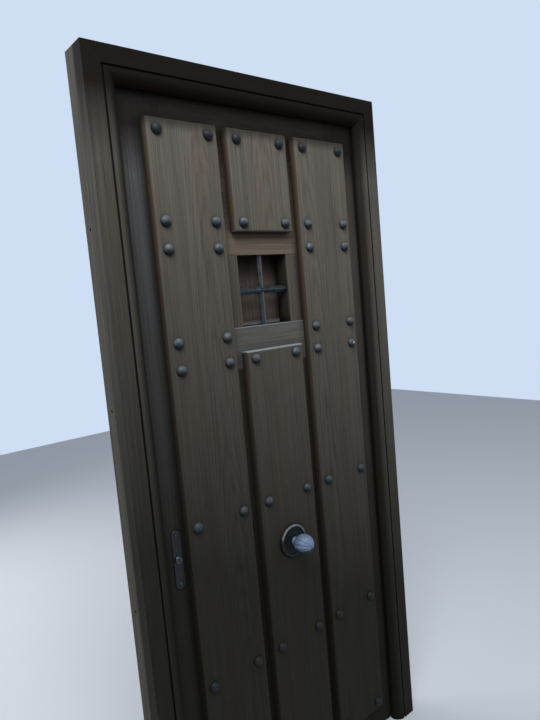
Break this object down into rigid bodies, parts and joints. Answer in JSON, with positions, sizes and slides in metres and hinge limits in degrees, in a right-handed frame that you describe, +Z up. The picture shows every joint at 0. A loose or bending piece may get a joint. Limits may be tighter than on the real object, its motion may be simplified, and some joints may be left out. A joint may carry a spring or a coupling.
{
  "type": "studded plank entrance door with frame",
  "caption": "Inward-opening plank door with domed studs, a barred window with hatch, a fluted pull knob and a moulded timber frame.",
  "frame": {"origin": "bottom centre of the whole assembly's box, on the floor", "axes": "+X to the hinge side as seen from outdoors, +Y from outdoors to indoors, +Z up"},
  "size_m": [0.992, 0.205, 2.159],
  "materials": {
    "frame_wood": "weathered dark stain",
    "leaf_wood": "weathered dark stain",
    "plank_wood": "weathered dark stain",
    "hatch_wood": "sheltered dark stain",
    "black_iron": "blackened",
    "pewter": "worn cast grey",
    "bright_steel": "satin",
    "brass": "satin"
  },
  "bodies": {
    "frame": {"jamb_left": "frame_wood", "jamb_right": "frame_wood", "head": "frame_wood", "strike_plate": "bright_steel", "hinge_pins": "bright_steel", "hinge_frame_flap_1": "bright_steel", "hinge_frame_flap_2": "bright_steel", "hinge_frame_flap_3": "bright_steel"},
    "leaf": {"lock_stile": "leaf_wood", "hinge_stile": "leaf_wood", "top_rail": "leaf_wood", "window_head_rail": "leaf_wood", "window_sill_rail": "leaf_wood", "mid_rail": "leaf_wood", "lower_rail": "leaf_wood", "bottom_rail": "leaf_wood", "window_muntin_left": "leaf_wood", "window_muntin_right": "leaf_wood", "top_panel": "leaf_wood", "window_panel_left": "leaf_wood", "window_panel_right": "leaf_wood", "upper_panel": "leaf_wood", "middle_panel": "leaf_wood", "lower_panel": "leaf_wood", "plank_left": "plank_wood", "plank_right": "plank_wood", "plank_upper_centre": "plank_wood", "plank_lower_centre": "plank_wood", "studs_left": "black_iron", "studs_right": "black_iron", "studs_upper_centre": "black_iron", "studs_lower_centre": "black_iron", "grille_upright": "black_iron", "grille_crossbar": "black_iron", "knob_rosette": "pewter", "pull_knob": "pewter", "knob_rod": "bright_steel", "knob_nut": "bright_steel", "lock_case": "bright_steel", "lock_cover": "bright_steel", "lock_faceplate": "bright_steel", "escutcheon_outer": "black_iron", "escutcheon_inner": "black_iron", "cylinder_body": "bright_steel", "inside_pull": "black_iron", "hatch_fixed_flaps": "black_iron", "hatch_pins": "black_iron", "button_screw": "black_iron", "hinge_leaf_flap_1": "bright_steel", "hinge_leaf_flap_2": "bright_steel", "hinge_leaf_flap_3": "bright_steel"},
    "hatch": {"hatch_board": "hatch_wood", "hatch_knob": "black_iron", "hatch_flaps": "black_iron"},
    "hatch_button": {"hatch_button": "black_iron"},
    "deadbolt": {"deadbolt": "bright_steel"},
    "lock_turn": {"cylinder_plug": "brass", "spindle": "bright_steel", "thumb_turn": "bright_steel"}
  },
  "joints": [
    {"name": "leaf_hinge", "type": "hinge", "parent": "frame", "child": "leaf", "pos_m": [0.4275, 0.0648, 1.0445], "axis": [0, 0, -1], "range_deg": [0, 100]},
    {"name": "hatch_hinge", "type": "hinge", "parent": "leaf", "child": "hatch", "pos_m": [0.1133, 0.0618, 1.573], "axis": [0, 0, -1], "range_deg": [0, 105]},
    {"name": "button_turn", "type": "hinge", "parent": "leaf", "child": "hatch_button", "pos_m": [-0.121, 0.0761, 1.533], "axis": [0, -1, 0], "range_deg": [0, 90]},
    {"name": "thumb_turn", "type": "hinge", "parent": "leaf", "child": "lock_turn", "pos_m": [-0.375, 0.0305, 0.888], "axis": [0, -1, 0], "range_deg": [0, 91]},
    {"name": "bolt_slide", "type": "slide", "parent": "leaf", "child": "deadbolt", "axis": [-1, 0, 0], "range_m": [0, 0.02]}
  ],
  "couplings": [
    {"joint": "thumb_turn", "follows": "bolt_slide", "rad_per_m": 78.54}
  ]
}
